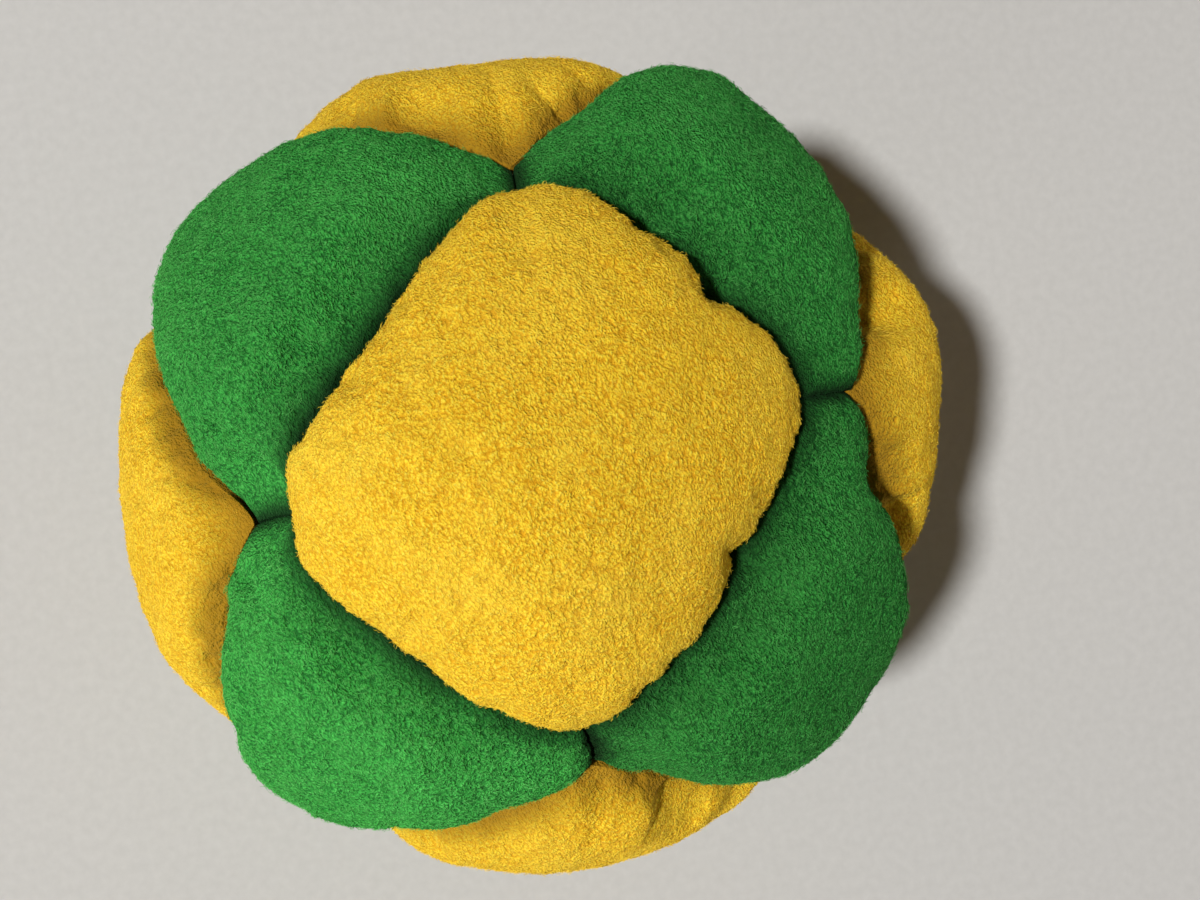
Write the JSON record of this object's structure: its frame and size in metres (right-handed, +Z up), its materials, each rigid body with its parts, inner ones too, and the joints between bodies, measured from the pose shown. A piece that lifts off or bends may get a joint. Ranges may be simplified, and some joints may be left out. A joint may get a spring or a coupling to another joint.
{
  "type": "footbag",
  "caption": "Soft round footbag sewn from yellow square and green hexagon suede panels and filled with sand, for keeping in the air with the feet.",
  "frame": {"origin": "middle of the flat place under the bag, on the surface that it rests on", "axes": "+Z up through the crowns of the bottom and top square panels; +X towards the crown of the right square panel, +Y towards the crown of the back one"},
  "size_m": [0.0552, 0.0552, 0.0499],
  "materials": {
    "yellow_suede": "brushed, with a short soft nap",
    "green_suede": "brushed, with a short soft nap",
    "sewing_thread": "waxed polyester thread",
    "sand": "dry, fine grained"
  },
  "bodies": {
    "root": {"hexagon_panel_lower_back_left": "green_suede", "hexagon_panel_lower_back_right": "green_suede", "hexagon_panel_lower_front_left": "green_suede", "hexagon_panel_lower_front_right": "green_suede", "hexagon_panel_upper_back_left": "green_suede", "hexagon_panel_upper_back_right": "green_suede", "hexagon_panel_upper_front_left": "green_suede", "hexagon_panel_upper_front_right": "green_suede", "sand_fill": "sand", "square_panel_back": "yellow_suede", "square_panel_bottom": "yellow_suede", "square_panel_front": "yellow_suede", "square_panel_left": "yellow_suede", "square_panel_right": "yellow_suede", "square_panel_top": "yellow_suede", "thread_back_to_lower_back_left": "sewing_thread", "thread_back_to_lower_back_right": "sewing_thread", "thread_back_to_upper_back_left": "sewing_thread", "thread_back_to_upper_back_right": "sewing_thread", "thread_bottom_to_lower_back_left": "sewing_thread", "thread_bottom_to_lower_back_right": "sewing_thread", "thread_bottom_to_lower_front_left": "sewing_thread", "thread_bottom_to_lower_front_right": "sewing_thread", "thread_front_to_lower_front_left": "sewing_thread", "thread_front_to_lower_front_right": "sewing_thread", "thread_front_to_upper_front_left": "sewing_thread", "thread_front_to_upper_front_right": "sewing_thread", "thread_left_to_lower_back_left": "sewing_thread", "thread_left_to_lower_front_left": "sewing_thread", "thread_left_to_upper_back_left": "sewing_thread", "thread_left_to_upper_front_left": "sewing_thread", "thread_lower_back_left_to_lower_back_right": "sewing_thread", "thread_lower_back_left_to_upper_back_left": "sewing_thread", "thread_lower_back_right_to_upper_back_right": "sewing_thread", "thread_lower_front_left_to_lower_back_left": "sewing_thread", "thread_lower_front_left_to_lower_front_right": "sewing_thread", "thread_lower_front_left_to_upper_front_left": "sewing_thread", "thread_lower_front_right_to_lower_back_right": "sewing_thread", "thread_lower_front_right_to_upper_front_right": "sewing_thread", "thread_right_to_lower_back_right": "sewing_thread", "thread_right_to_lower_front_right": "sewing_thread", "thread_right_to_upper_back_right": "sewing_thread", "thread_right_to_upper_front_right": "sewing_thread", "thread_top_to_upper_back_left": "sewing_thread", "thread_top_to_upper_back_right": "sewing_thread", "thread_top_to_upper_front_left": "sewing_thread", "thread_top_to_upper_front_right": "sewing_thread", "thread_upper_back_left_to_upper_back_right": "sewing_thread", "thread_upper_front_left_to_upper_back_left": "sewing_thread", "thread_upper_front_left_to_upper_front_right": "sewing_thread", "thread_upper_front_right_to_upper_back_right": "sewing_thread"}
  },
  "joints": []
}
